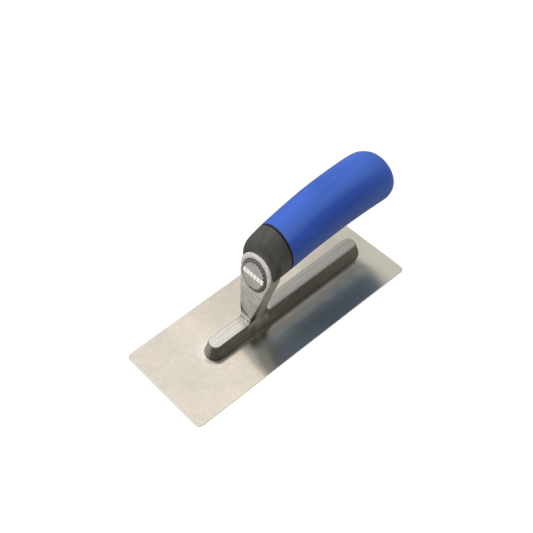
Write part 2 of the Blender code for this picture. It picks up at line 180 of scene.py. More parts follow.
def outline_prism(name, points, front, back, place):
    """Closed outline in the plane of `place`, carried between two depths."""
    bm = bmesh.new()
    top = [bm.verts.new(place @ Vector((x, y, -front))) for x, y in points]
    low = [bm.verts.new(place @ Vector((x, y, -back))) for x, y in points]
    bm.faces.new(top)
    bm.faces.new(list(reversed(low)))
    for k in range(len(points)):
        j = (k + 1) % len(points)
        bm.faces.new((top[j], top[k], low[k], low[j]))
    bmesh.ops.recalc_face_normals(bm, faces=bm.faces)
    mesh = bpy.data.meshes.new(name)
    bm.to_mesh(mesh)
    bm.free()
    return bpy.data.objects.new(name, mesh)


def baked(obj):
    """The object's mesh with its modifiers applied, as a new mesh."""
    bpy.context.view_layer.update()
    graph = bpy.context.evaluated_depsgraph_get()
    mesh = bpy.data.meshes.new_from_object(obj.evaluated_get(graph),
                                           depsgraph=graph)
    return mesh


def cut(mesh, name, *tools):
    """Exact boolean difference of a mesh with helper solids."""
    scene = bpy.context.scene.collection
    obj = bpy.data.objects.new(name, mesh)
    scene.objects.link(obj)
    for tool in tools:
        scene.objects.link(tool)
        tool.hide_render = True
        mod = obj.modifiers.new(tool.name, 'BOOLEAN')
        mod.operation, mod.solver, mod.object = 'DIFFERENCE', 'EXACT', tool
    result = baked(obj)
    for gone in (obj, *tools):
        bpy.data.objects.remove(gone, do_unlink=True)
    return result


def neck_outline(grow, fine=1, lift=0.0):
    """Outline of the casting's face: a squared round boss on a long taper."""
    power = 2.0 / BOSS_SQUARENESS
    half = []
    for k in range(12 * fine + 1):
        a = math.pi / 2 * (1 - k / (12 * fine))
        half.append(((BOSS_HALF + grow) * max(math.cos(a), 0.0)**power,
                     BOSS_SHOULDER + (BOSS_TOP + grow + lift - BOSS_SHOULDER)
                     * max(math.sin(a), 0.0)**power))
    half[0] = (0.0, half[0][1])
    for y in spread(BOSS_SHOULDER, NECK_TAPER[-1][0] * MM, 17 * fine + 1)[1:]:
        half.append((hermite(NECK_TAPER, y)[0] + grow, y))
    half.append((half[-1][0], -46.0 * MM))
    return half + [(-x, y) for x, y in reversed(half[1:])]


# ------------------------------------------------------------------ materials
class Finish:
    """Small helper that wires one Principled shader from procedural nodes."""

    def __init__(self, name):
        self.mat = bpy.data.materials.new(name)
        self.mat.use_nodes = True
        self.tree = self.mat.node_tree
        self.shader = self.tree.nodes["Principled BSDF"]
        self.place = self.add("ShaderNodeTexCoord").outputs["Object"]
        self.bumps = None

    def add(self, kind, **props):
        node = self.tree.nodes.new(kind)
        for key, value in props.items():
            setattr(node, key, value)
        return node

    def put(self, socket, value):
        if isinstance(value, bpy.types.NodeSocket):
            self.tree.links.new(value, socket)
        elif isinstance(value, (tuple, list)) and len(value) == 3 \
                and socket.type == 'RGBA':
            socket.default_value = (*value, 1.0)
        else:
            socket.default_value = value

    def set(self, **inputs):
        for key, value in inputs.items():
            self.put(self.shader.inputs[key.replace("_", " ")], value)
        return self

    def math(self, operation, a, b=0.0, clamp=False):
        node = self.add("ShaderNodeMath", operation=operation, use_clamp=clamp)
        self.put(node.inputs[0], a)
        self.put(node.inputs[1], b)
        return node.outputs[0]

    def scaled(self, scale, turn=(0.0, 0.0, 0.0), shift=(0.0, 0.0, 0.0)):
        node = self.add("ShaderNodeMapping")
        self.put(node.inputs["Vector"], self.place)
        node.inputs["Scale"].default_value = scale
        node.inputs["Rotation"].default_value = turn
        node.inputs["Location"].default_value = shift
        return node.outputs[0]

    def noise(self, scale, detail=2.0, rough=0.5, vector=None, distortion=0.0):
        node = self.add("ShaderNodeTexNoise")
        self.put(node.inputs["Vector"], vector or self.place)
        node.inputs["Scale"].default_value = scale
        node.inputs["Detail"].default_value = detail
        node.inputs["Roughness"].default_value = rough
        node.inputs["Distortion"].default_value = distortion
        return node.outputs["Fac"]

    def voronoi(self, scale, vector=None, feature='F1'):
        node = self.add("ShaderNodeTexVoronoi", feature=feature)
        self.put(node.inputs["Vector"], vector or self.place)
        node.inputs["Scale"].default_value = scale
        return node.outputs["Distance"]

    def span(self, value, low, high, to_low=0.0, to_high=1.0, smooth=True):
        node = self.add("ShaderNodeMapRange",
                        interpolation_type='SMOOTHSTEP' if smooth else 'LINEAR')
        self.put(node.inputs["Value"], value)
        node.inputs["From Min"].default_value = low
        node.inputs["From Max"].default_value = high
        node.inputs["To Min"].default_value = to_low
        node.inputs["To Max"].default_value = to_high
        return node.outputs["Result"]

    def mix(self, factor, a, b):
        node = self.add("ShaderNodeMix", data_type='RGBA')
        self.put(node.inputs["Factor"], factor)
        colours = [s for s in node.inputs if s.type == 'RGBA']
        self.put(colours[0], a)
        self.put(colours[1], b)
        return [s for s in node.outputs if s.type == 'RGBA'][0]

    def split(self, vector):
        node = self.add("ShaderNodeSeparateXYZ")
        self.put(node.inputs[0], vector)
        return node.outputs

    def dot(self, vector, direction):
        node = self.add("ShaderNodeVectorMath", operation='DOT_PRODUCT')
        self.put(node.inputs[0], vector)
        node.inputs[1].default_value = direction
        return node.outputs["Value"]

    def normal(self):
        return self.add("ShaderNodeNewGeometry").outputs["Normal"]

    def seam_dirt(self, base):
        """Dirt packed into the seam between the collar and the grip."""
        x, _, z = self.split(self.place)
        away = self.math('ADD', x, self.math('MULTIPLY', z, math.tan(SEAM_LEAN)))
        away = self.math('ABSOLUTE', self.math(
            'SUBTRACT', away, SEAM_X + SEAM_HEIGHT * math.tan(SEAM_LEAN)))
        return self.mix(self.span(away, 0.00050, 0.00085, 0.88, 0.0), base,
                        (0.008, 0.009, 0.011))

    def attribute(self, name):
        return self.add("ShaderNodeAttribute", attribute_name=name).outputs["Fac"]

    def bump(self, height, depth, strength=1.0):
        node = self.add("ShaderNodeBump")
        node.inputs["Strength"].default_value = strength
        node.inputs["Distance"].default_value = depth
        self.put(node.inputs["Height"], height)
        if self.bumps is not None:
            self.put(node.inputs["Normal"], self.bumps)
        self.bumps = node.outputs["Normal"]
        self.put(self.shader.inputs["Normal"], self.bumps)
        return self


def stainless():
    f = Finish("stainless_blade")
    x, y, z = f.split(f.place)
    streaks = f.noise(1.0, 3.0, 0.6, f.scaled((14.0, 2600.0, 600.0)))
    coarse = f.noise(1.0, 2.0, 0.5, f.scaled((6.0, 420.0, 60.0), shift=(3, 1, 0)))
    cloud = f.noise(22.0, 3.0, 0.55, distortion=0.6)
    stain = f.noise(38.0, 4.0, 0.6, f.scaled((1.0, 1.6, 1.0), shift=(7, 2, 4)), 1.4)
    base = f.mix(f.span(cloud, 0.35, 0.68), (0.75, 0.705, 0.635), (0.685, 0.655, 0.605))
    base = f.mix(f.span(stain, 0.52, 0.70, 0.0, 0.55), base, (0.745, 0.675, 0.575))
    # painted paler round the toe of the foot bar: a painted pale halo of light
    toe_pale_light = f.math('ADD', f.math('MULTIPLY', f.math('ABSOLUTE', f.math(
        'SUBTRACT', x, 0.050)), 1.0), f.math('MULTIPLY', f.math('ABSOLUTE', f.math(
            'ADD', y, 0.012)), 1.5))
    toe_pale_light = f.math('ADD', toe_pale_light, f.math('MULTIPLY', cloud, 0.02))
    base = f.mix(f.span(toe_pale_light, 0.012, 0.050, 0.55, 0.0), base, (0.79, 0.765, 0.715))
    # a brighter painted ring of light round the bar's toe end
    ring = f.add("ShaderNodeVectorMath", operation='DISTANCE')
    f.put(ring.inputs[0], f.place)
    ring.inputs[1].default_value = (0.0515, 0.0, 0.0)
    base = f.mix(f.span(ring.outputs["Value"], 0.0085, 0.0150, 0.65, 0.0), base,
                 (0.90, 0.885, 0.82))
    base = f.mix(f.math('MULTIPLY', f.span(streaks, 0.35, 0.75), 0.12), base,
                 (0.80, 0.77, 0.71))
    # soft mottling all over, and painted shade along the bar's near foot where the handle's dark
    # reflection lies
    mottle = f.noise(210.0, 3.0, 0.6, distortion=0.8)
    base = f.mix(f.span(mottle, 0.40, 0.62, 0.0, 0.16), base, (0.46, 0.47, 0.45))
    wide = f.noise(60.0, 2.0, 0.5, f.scaled((1.0, 1.0, 1.0), shift=(2, 5, 1)), 0.8)
    base = f.mix(f.span(wide, 0.45, 0.65, 0.0, 0.10), base, (0.46, 0.46, 0.42))
    ragged = f.math('ADD', y, f.math('MULTIPLY', f.math('SUBTRACT', mottle, 0.5), 0.006))
    painted_foot_shade = f.math('MULTIPLY', f.math('MULTIPLY', f.span(ragged, 0.0165, 0.0325, 1.0, 0.0),
                                      f.span(y, 0.0080, 0.0110)),
                   f.math('MULTIPLY', f.span(x, -0.086, -0.078),
                          f.span(x, 0.030, 0.040, 1.0, 0.0)))
    base = f.mix(f.math('MULTIPLY', painted_foot_shade, 0.62), base, (0.235, 0.232, 0.222))
    # painted shade: a dark patch beside the neck, standing in for the neck's dark reflection
    neck_reflection_shade = f.math('MULTIPLY', f.math('MULTIPLY', f.span(x, 0.011, 0.016),
                                      f.span(x, 0.025, 0.031, 1.0, 0.0)),
                   f.math('MULTIPLY', f.span(ragged, 0.0095, 0.0125),
                          f.span(ragged, 0.018, 0.034, 1.0, 0.0)))
    # painted shadow round the toe end of the foot bar
    ahead = f.math('MAXIMUM', f.math('SUBTRACT', x, 0.0506), 0.0)
    out = f.math('SUBTRACT', f.math('SQRT', f.math(
        'ADD', f.math('MULTIPLY', ahead, ahead), f.math('MULTIPLY', y, y))), 0.0083)
    toe_shadow = f.math('MULTIPLY', f.span(out, 0.0010, 0.0050, 0.60, 0.0),
                    f.math('MULTIPLY', f.span(x, 0.0330, 0.0420), f.span(y, -0.0010, 0.0035)))
    base = f.mix(toe_shadow, base, (0.235, 0.222, 0.196))
    base = f.mix(f.math('MULTIPLY', neck_reflection_shade, 0.56), base, (0.150, 0.150, 0.142))
    # painted shade on the blade under the grip, towards the heel
    heel_shade = f.math('MULTIPLY', f.span(x, -0.050, -0.040, 1.0, 0.0),
                  f.span(y, -0.024, -0.016, 0.0, 1.0))
    heel_shade = f.math('MULTIPLY', heel_shade, f.span(y, -0.004, 0.004, 1.0, 0.0))
    base = f.mix(f.math('MULTIPLY', heel_shade, 0.30), base, (0.42, 0.42, 0.41))
    # a cooler, blue-grey painted reflection of the grip on the near half behind the neck
    grip_reflection_tint = f.math('MULTIPLY', f.math('MULTIPLY', f.span(y, 0.014, 0.022),
                                     f.span(x, -0.085, -0.070)),
                  f.span(x, 0.028, 0.040, 1.0, 0.0))
    base = f.mix(f.math('MULTIPLY', grip_reflection_tint, f.span(wide, 0.35, 0.6, 0.6, 1.0)), base,
                 (0.675, 0.730, 0.720))
    base = f.mix(f.math('MULTIPLY', f.span(x, 0.060, 0.100), 0.20), base,
                 (0.52, 0.50, 0.475))
    base = f.mix(f.math('MULTIPLY', f.span(x, -0.088, -0.080, 1.0, 0.0), 0.6), base,
                 (0.725, 0.735, 0.665))
    # the four edges are worn brighter and smoother by use
    rim = f.math('MAXIMUM',
                 f.span(f.math('ABSOLUTE', x), BLADE_HI.x - 0.0022, BLADE_HI.x),
                 f.span(f.math('ABSOLUTE', y), BLADE_HI.y - 0.0020, BLADE_HI.y))
    base = f.mix(f.math('MULTIPLY', rim, 0.25), base, (0.80, 0.78, 0.74))
    rough = f.math('ADD', f.span(streaks, 0.3, 0.7, 0.170, 0.205, False),
                   f.span(cloud, 0.3, 0.7, -0.015, 0.02, False))
    rough = f.math('ADD', rough, f.math('MULTIPLY', painted_foot_shade, 0.05))
    f.set(Base_Color=base, Metallic=0.92, Roughness=rough, Specular_IOR_Level=0.3)
    f.bump(f.math('ADD', streaks, f.math('MULTIPLY', coarse, 0.6)), 0.0000018)
    first = f.bumps.node
    f.bump(f.noise(16.0, 1.0, 0.4), 0.00008)
    # the thin sheet is pulled slightly out of true towards the toe
    slope = f.math('MULTIPLY', f.span(x, -0.025, 0.022),
                   f.span(x, 0.031, 0.048, 1.0, 0.0))
    slope = f.math('MULTIPLY', slope, f.span(y, -0.012, 0.004, 0.25, 1.0))
    slope = f.math('MULTIPLY', slope, f.span(y, 0.018, 0.034, 0.070, 0.090))
    slope = f.math('ADD', slope, 0.010)
    slope = f.math('ADD', slope, f.span(x, -0.085, -0.056, 0.013, 0.0))
    bow = f.add("ShaderNodeCombineXYZ")
    f.put(bow.inputs[0], f.math('MULTIPLY', slope, -1.0))
    roll = f.math('MULTIPLY', f.math('MULTIPLY', f.span(y, 0.009, 0.015),
                                     f.span(y, 0.026, 0.040, 1.0, 0.0)),
                  f.span(x, 0.022, 0.036, 1.0, 0.0))
    f.put(bow.inputs[1], f.math('MULTIPLY', roll, 0.020))
    pulled = f.add("ShaderNodeVectorMath", operation='ADD')
    f.put(pulled.inputs[0], f.normal())
    f.put(pulled.inputs[1], bow.outputs[0])
    unit = f.add("ShaderNodeVectorMath", operation='NORMALIZE')
    f.put(unit.inputs[0], pulled.outputs[0])
    f.put(first.inputs["Normal"], unit.outputs[0])
    return f.mat


def casting_finish():
    """As-cast sides, linished bar top and rubbed front face."""
    f = Finish("cast_alloy")
    x, y, z = f.split(f.place)
    ground = f.attribute("linished")
    rubbed = f.attribute("rubbed")
    grain = f.noise(900.0, 3.0, 0.65)
    blotch = f.noise(130.0, 4.0, 0.62, distortion=0.4)
    pits = f.voronoi(520.0)
    cloud = f.noise(45.0, 2.0, 0.5)
    skin = f.mix(f.span(blotch, 0.32, 0.7), (0.136, 0.131, 0.118),
                 (0.208, 0.201, 0.184))
    skin = f.mix(f.span(cloud, 0.45, 0.8, 0.0, 0.5), skin, (0.25, 0.242, 0.222))
    behind = f.math('ADD', f.math('MULTIPLY', f.math('SUBTRACT', x, FACE_CENTRE.x),
                                  FACE_NORMAL.x),
                    f.math('MULTIPLY', f.math('SUBTRACT', z, FACE_CENTRE.z),
                           FACE_NORMAL.z))
    flank_light = f.math('MULTIPLY', f.span(z, 0.0055, 0.0105),
                   f.math('MULTIPLY', f.span(behind, -0.0125, -0.0105),
                          f.span(behind, 0.0, 0.001, 1.0, 0.0)))
    foot = f.math('MULTIPLY', f.math('MULTIPLY', f.span(x, 0.0040, 0.0065),
                                     f.span(x, 0.0165, 0.0185, 1.0, 0.0)),
                  f.math('MULTIPLY', f.span(z, 0.0025, 0.0075),
                         f.span(z, 0.0110, 0.0150, 1.0, 0.0)))
    flank_light = f.math('MAXIMUM', flank_light, f.math('MULTIPLY', foot, 0.6))
    skin = f.mix(f.span(x, -0.095, -0.020, 0.60, 0.0), skin, (0.330, 0.322, 0.297))
    # painted shade on the near half of the bar's toe end, standing in for a dark reflection
    toe_end_shade = f.math('MULTIPLY', f.span(x, 0.0500, 0.0540), f.span(y, -0.0005, 0.0025))
    skin = f.mix(f.math('MULTIPLY', toe_end_shade, 0.60), skin, (0.070, 0.068, 0.062))
    chip = f.noise(420.0, 4.0, 0.7, distortion=1.2)
    skin = f.mix(f.span(chip, 0.34, 0.42, 0.40, 0.0), skin, (0.072, 0.069, 0.062))
    skin = f.mix(f.span(chip, 0.58, 0.66, 0.0, 0.38), skin, (0.40, 0.385, 0.35))
    waist = f.math('MULTIPLY', f.span(x, -0.035, -0.005), f.span(x, 0.030, 0.046, 1.0, 0.0))
    skin = f.mix(f.math('MULTIPLY', waist, 0.18), skin, (0.300, 0.300, 0.275))
    # the neck's flanks are painted much paler than the foot bar's side, a painted reflection of light
    skin = f.mix(flank_light, skin,
                 f.mix(f.span(blotch, 0.3, 0.72), (0.42, 0.412, 0.382), (0.56, 0.552, 0.516)))
    # lengthwise belt marks on the bar's top
    belt = f.noise(1.0, 4.0, 0.62, f.scaled((16.0, 1150.0, 1.0)))
    fine = f.noise(1.0, 2.0, 0.5, f.scaled((60.0, 5200.0, 1.0), shift=(5, 3, 0)))
    lines = f.math('ADD', f.math('MULTIPLY', belt, 0.7),
                   f.math('MULTIPLY', fine, 0.3))
    bright = f.mix(f.span(lines, 0.36, 0.62), (0.54, 0.53, 0.515), (0.94, 0.93, 0.905))
    # darker, rougher streaks left along the rear of the bar, and painted shade over the whole rear of
    # its top under the grip
    rows = f.noise(1.0, 3.0, 0.55, f.scaled((5.0, 620.0, 1.0), shift=(1, 9, 0)))
    rear = f.span(x, -0.002, 0.004, 1.0, 0.0)
    rows = f.math('MULTIPLY', f.span(rows, 0.47, 0.60), rear)
    bright = f.mix(f.math('MULTIPLY', rows, 0.75), bright, (0.27, 0.268, 0.258))
    bright = f.mix(f.math('MULTIPLY', rear, 0.72), bright, (0.395, 0.404, 0.398))
    scores = f.noise(1.0, 3.0, 0.7, f.scaled((45.0, 1500.0, 1.0), shift=(2, 7, 0)))
    scores = f.math('MULTIPLY', f.span(scores, 0.50, 0.60), f.span(x, 0.018, 0.022))
    bright = f.mix(f.math('MULTIPLY', f.span(x, 0.018, 0.022), 0.24), bright,
                   (0.97, 0.965, 0.95))
    bright = f.mix(f.math('MULTIPLY', scores, 0.52), bright, (0.46, 0.46, 0.43))
    shade = f.math('MULTIPLY', f.span(x, 0.0225, 0.0290, 1.0, 0.0), f.span(x, 0.018, 0.020))
    bright = f.mix(f.math('MULTIPLY', shade, 0.55), bright, (0.34, 0.335, 0.32))
    face = f.mix(f.span(f.noise(330.0, 4.0, 0.75), 0.38, 0.62), (0.50, 0.504, 0.492),
                 (0.865, 0.875, 0.865))
    face = f.mix(f.span(f.noise(70.0, 3.0, 0.6), 0.45, 0.7, 0.0, 0.4), face,
                 (0.60, 0.575, 0.545))
    face = f.mix(f.span(pits, 0.0, 0.16, 0.30, 0.0), face, (0.30, 0.29, 0.275))
    face = f.mix(f.span(z, 0.016, 0.050, 0.74, 0.0), face, (0.43, 0.430, 0.424))
    face = f.mix(f.span(f.noise(780.0, 3.0, 0.7), 0.55, 0.70, 0.0, 0.55), face,
                 (0.86, 0.85, 0.82))
    face = f.mix(f.span(f.noise(620.0, 3.0, 0.7, f.scaled((1.0, 1.0, 1.0), shift=(4, 4, 1))),
                        0.56, 0.70, 0.0, 0.45), face, (0.30, 0.29, 0.28))
    # painted shade: the flank is darkest just behind the face's edge
    face_edge_shade = f.math('MULTIPLY', f.span(behind, -0.0040, -0.0026),
                   f.math('MULTIPLY', f.span(z, 0.008, 0.012),
                          f.span(z, 0.026, 0.036, 1.0, 0.0)))
    skin = f.mix(f.math('MULTIPLY', face_edge_shade, 0.75), skin, (0.095, 0.090, 0.082))
    # painted shade in the nook low on the near flank, just above the bar
    nook_shade = f.math('MULTIPLY', f.math('MULTIPLY', f.span(behind, -0.0062, -0.0044),
                                     f.span(y, 0.001, 0.004)),
                  f.math('MULTIPLY', f.span(z, 0.0105, 0.0120),
                         f.span(z, 0.0160, 0.0200, 1.0, 0.0)))
    skin = f.mix(f.math('MULTIPLY', nook_shade, 0.85), skin, (0.040, 0.038, 0.034))
    base = f.mix(rubbed, skin, face)
    base = f.mix(ground, base, bright)
    # edge wear, together with the painted highlights on the face's edges and the badge rim
    base = f.mix(f.attribute("worn"), base, (0.88, 0.88, 0.855))
    # painted shade: the gate groove is painted near-black
    gate_shade = f.attribute("gate_shade")
    base = f.mix(f.math('MULTIPLY', gate_shade, 0.92), base, (0.018, 0.017, 0.015))
    rough = f.math('ADD', f.span(blotch, 0.3, 0.7, 0.50, 0.62, False), 0.0)
    rough_mix = f.add("ShaderNodeMix", data_type='FLOAT')
    f.put(rough_mix.inputs[0], ground)
    f.put(rough_mix.inputs[2], rough)
    f.put(rough_mix.inputs[3], f.span(lines, 0.3, 0.7, 0.40, 0.30, False))
    f.set(Base_Color=base, Metallic=f.span(ground, 0.0, 1.0, 0.55, 1.0, False),
          Roughness=rough_mix.outputs[0],
          Specular_IOR_Level=f.span(gate_shade, 0.0, 1.0, 0.5, 0.05, False))
    cast_only = f.math('SUBTRACT', 1.0, ground)
    f.bump(f.math('MULTIPLY', grain, cast_only), 0.00012, 0.8)
    f.bump(f.math('MULTIPLY', lines, ground), 0.00002, 1.0)
    return f.mat


def nylon():
    f = Finish("grey_nylon")
    cloud = f.noise(90.0, 4.0, 0.6, distortion=0.3)
    speck = f.noise(1500.0, 2.0, 0.6)
    base = f.mix(f.span(cloud, 0.3, 0.72), (0.050, 0.051, 0.049), (0.078, 0.079, 0.077))
    base = f.mix(f.span(speck, 0.55, 0.75, 0.0, 0.35), base, (0.115, 0.113, 0.108))
    # painted bounce light low on the near side, and painted shade across the upper middle
    along, side, height = f.split(f.place)
    side_bounce_light = f.math('MULTIPLY', f.span(side, 0.0125, 0.0170),
                   f.span(height, 0.066, 0.072, 1.0, 0.0))
    side_bounce_light = f.math('MULTIPLY', side_bounce_light, f.span(along, -0.0030, 0.0005, 1.0, 0.0))
    base = f.mix(f.math('MULTIPLY', side_bounce_light, 0.60), base, (0.125, 0.129, 0.127))
    worn = f.math('MULTIPLY', f.math('MULTIPLY', f.span(side, -0.002, 0.006),
                                     f.span(side, 0.011, 0.015, 1.0, 0.0)),
                  f.span(height, 0.066, 0.071))
    base = f.mix(f.math('MULTIPLY', worn, 0.55), base, (0.030, 0.030, 0.029))
    # painted shade, darker low down beside the boss
    boss_side_shade = f.math('MULTIPLY', f.span(along, -0.0030, 0.0010),
                    f.math('MULTIPLY', f.span(side, 0.004, 0.009),
                           f.span(height, 0.069, 0.074, 1.0, 0.0)))
    base = f.mix(f.math('MULTIPLY', boss_side_shade, 0.50), base, (0.028, 0.028, 0.027))
    f.set(Base_Color=f.seam_dirt(base),
          Roughness=f.span(cloud, 0.3, 0.7, 0.52, 0.62, False),
          Specular_IOR_Level=0.5)
    f.bump(f.noise(2200.0, 2.0, 0.6), 0.00006, 0.7)
    f.bump(cloud, 0.0002, 0.5)
    return f.mat


def soft_blue(name="blue_soft_rubber"):
    f = Finish(name)
    cloud = f.noise(40.0, 3.0, 0.5, distortion=0.2)
    grain = f.voronoi(1500.0, feature='F1')
    base = f.mix(f.span(cloud, 0.3, 0.7), (0.029, 0.109, 0.545), (0.038, 0.130, 0.610))
    # lengthwise wiping streaks
    wiped = f.noise(1.0, 3.0, 0.6, f.scaled((34.0, 170.0, 170.0), shift=(1, 3, 8)), 0.6)
    base = f.mix(f.span(wiped, 0.36, 0.60, 0.26, 0.0), base, (0.024, 0.085, 0.455))
    base = f.mix(f.span(wiped, 0.50, 0.68, 0.0, 0.22), base, (0.052, 0.158, 0.660))
    base = f.mix(f.span(grain, 0.1, 0.6, 0.10, 0.0), base, (0.030, 0.095, 0.47))
    # the underside is dulled with painted shade, and the butt end is painted paler as painted light
    along, near, height = f.split(f.place)
    base = f.mix(f.span(along, -0.106, -0.074, 0.46, 0.0), base, (0.064, 0.190, 0.780))
    level = f.math('ADD', height, f.math('MULTIPLY', f.math('ADD', along, 0.112),
                                         math.tan(math.radians(4.2))))
    base = f.mix(f.span(level, 0.0533, 0.0640, 0.85, 0.0), base, (0.026, 0.098, 0.180))
    # the upper near side is painted a little paler as painted light, with a strip of painted shade just
    # under it
    upper = f.span(level, 0.0740, 0.0790)
    upper_painted_light = f.math('MULTIPLY', upper, f.math(
        'MULTIPLY', f.span(near, 0.0025, 0.0080), f.span(near, 0.0100, 0.0135, 1.0, 0.0)))
    upper_painted_shade = f.math('MULTIPLY', upper, f.math(
        'MULTIPLY', f.span(near, 0.0112, 0.0145), f.span(near, 0.0178, 0.0198, 1.0, 0.0)))
    base = f.mix(f.math('MULTIPLY', upper_painted_light, 0.40), base, (0.056, 0.160, 0.650))
    base = f.mix(f.math('MULTIPLY', upper_painted_shade, 0.38), base, (0.012, 0.072, 0.600))
    f.set(Base_Color=f.seam_dirt(base),
          Roughness=f.span(cloud, 0.3, 0.7, 0.40, 0.48, False),
          Specular_IOR_Level=0.42, Sheen_Weight=0.06, Sheen_Roughness=0.45,
          Sheen_Tint=(0.55, 0.68, 1.0))
    f.bump(grain, 0.00004, 0.6)
    f.bump(f.noise(160.0, 2.0, 0.5), 0.00008, 0.4)
    return f.mat


def badge_dark():
    f = Finish("badge_dark_plastic")
    speck = f.noise(1800.0, 2.0, 0.6)
    base = f.mix(speck, (0.075, 0.076, 0.073), (0.150, 0.151, 0.146))
    f.set(Base_Color=base, Roughness=0.45)
    f.bump(speck, 0.00003, 0.6)
    return f.mat


def badge_film():
    """Grey satin film: a plain pale band across it, a ring of plain ticks."""
    f = Finish("badge_grey_film")
    delta = f.add("ShaderNodeVectorMath", operation='SUBTRACT')
    f.put(delta.inputs[0], f.place)
    delta.inputs[1].default_value = FACE_CENTRE
    up = f.dot(delta.outputs[0], FACE_UP)
    across = f.dot(delta.outputs[0], (0.0, 1.0, 0.0))
    radius = f.math('SQRT', f.math('ADD', f.math('MULTIPLY', up, up),
                                   f.math('MULTIPLY', across, across)))
    angle = f.math('ARCTAN2', up, across)
    speck = f.noise(2600.0, 3.0, 0.7)
    cloud = f.noise(180.0, 3.0, 0.6)
    worn = f.noise(420.0, 3.0, 0.6)
    # the printed ring has worn away low on the far side
    side = f.math('ADD', f.math('MULTIPLY', across, 0.89), f.math('MULTIPLY', up, 0.45))
    printed = f.span(f.math('ADD', side, f.math('MULTIPLY', worn, 0.0020)),
                     -0.0062, -0.0040, 0.55, 1.0)
    ring = f.math('MULTIPLY', f.span(radius, 0.0097, 0.0099), printed)
    # plain dark dashes of uneven length all the way round it
    tick = f.span(f.math('SINE', f.math('MULTIPLY', angle, 23.0)), -0.25, 0.15)
    short = f.span(f.math('SINE', f.math('ADD', f.math('MULTIPLY', angle, 9.0), 1.0)),
                   -0.2, 0.2, 0.0095, 0.0099)
    tick = f.math('MULTIPLY', tick, f.math(
        'MULTIPLY', f.math('LESS_THAN', radius, 0.01120),
        f.math('GREATER_THAN', radius, short)))
    tick = f.math('MULTIPLY', tick, f.span(worn, 0.36, 0.52, 0.55, 1.0))
    band = f.math('MULTIPLY',
                  f.span(f.math('ABSOLUTE', f.math('SUBTRACT', up, 0.0001)),
                         0.00180, 0.00200, 1.0, 0.0),
                  f.span(f.math('ABSOLUTE', across), 0.01055, 0.01075, 1.0, 0.0))
    # the band is printed as a row of plain blocks
    blocks = f.math('ABSOLUTE', f.math('SINE', f.math('MULTIPLY', across, 900.0)))
    band = f.math('MULTIPLY', band, f.span(blocks, 0.16, 0.34, 0.15, 1.0))
    grey = f.mix(speck, (0.295, 0.303, 0.298), (0.395, 0.401, 0.394))
    grey = f.mix(f.span(cloud, 0.4, 0.7, 0.0, 0.4), grey, (0.52, 0.52, 0.505))
    dark = f.mix(worn, (0.165, 0.170, 0.162), (0.245, 0.250, 0.240))
    dark = f.mix(f.math('MULTIPLY', tick, 0.92), dark, (0.012, 0.013, 0.012))
    base = f.mix(ring, grey, dark)
    base = f.mix(band, base, (0.93, 0.93, 0.91))
    f.set(Base_Color=base, Roughness=f.span(speck, 0.3, 0.7, 0.36, 0.48, False),
          Metallic=0.0, Specular_IOR_Level=0.4)
    f.bump(speck, 0.00002, 0.5)
    f.bump(f.math('ADD', band, f.math('MULTIPLY', ring, 0.4)), 0.00006, 0.8)
    return f.mat


def steel(name, colour, rough):
    f = Finish(name)
    turned_lines = f.noise(1.0, 3.0, 0.6, f.scaled((2500.0, 300.0, 2500.0)))
    base = f.mix(turned_lines, tuple(c * 0.85 for c in colour), colour)
    f.set(Base_Color=base, Metallic=1.0,
          Roughness=f.span(turned_lines, 0.3, 0.7, rough, rough + 0.1, False))
    f.bump(turned_lines, 0.00001, 0.6)
    return f.mat


STAINLESS = stainless()
CASTING = casting_finish()
NYLON = nylon()
BLUE = soft_blue()
BLUE_PLUG = soft_blue("blue_plug")
DARK = badge_dark()
FILM = badge_film()
RIVET = steel("rivet_steel", (0.62, 0.60, 0.57), 0.28)
ZINC = steel("zinc_steel", (0.62, 0.63, 0.62), 0.3)


def dress(node, mat):
    """Give a carried-over CAD node its finish."""
    obj = NODES[node]
    if not obj.material_slots:
        obj.data.materials.append(mat)
    for k in range(len(obj.material_slots)):
        obj.material_slots[k].link = 'OBJECT'
        obj.material_slots[k].material = mat
    return obj


def soften(obj, width, segments=2, angle=35.0):
    """Round a CAD node's crisp edges a little, inside its own size."""
    weld = obj.modifiers.new("weld", 'WELD')
    weld.merge_threshold = 0.000002
    flat = obj.modifiers.new("flat", 'DECIMATE')
    flat.decimate_type, flat.angle_limit = 'DISSOLVE', math.radians(0.3)
    edge = obj.modifiers.new("edge", 'BEVEL')
    edge.width, edge.segments = width, segments
    edge.limit_method, edge.angle_limit = 'ANGLE', math.radians(angle)
    edge.harden_normals = False
    return obj


# ---------------------------------------------------------------------- blade
for number in range(1, 8):
    soften(dress("blade_rivet_%d" % number, RIVET), 0.00008)
for name in ("tang_rod", "tang_washer", "tang_nut"):
    soften(dress(name, ZINC), 0.0002)


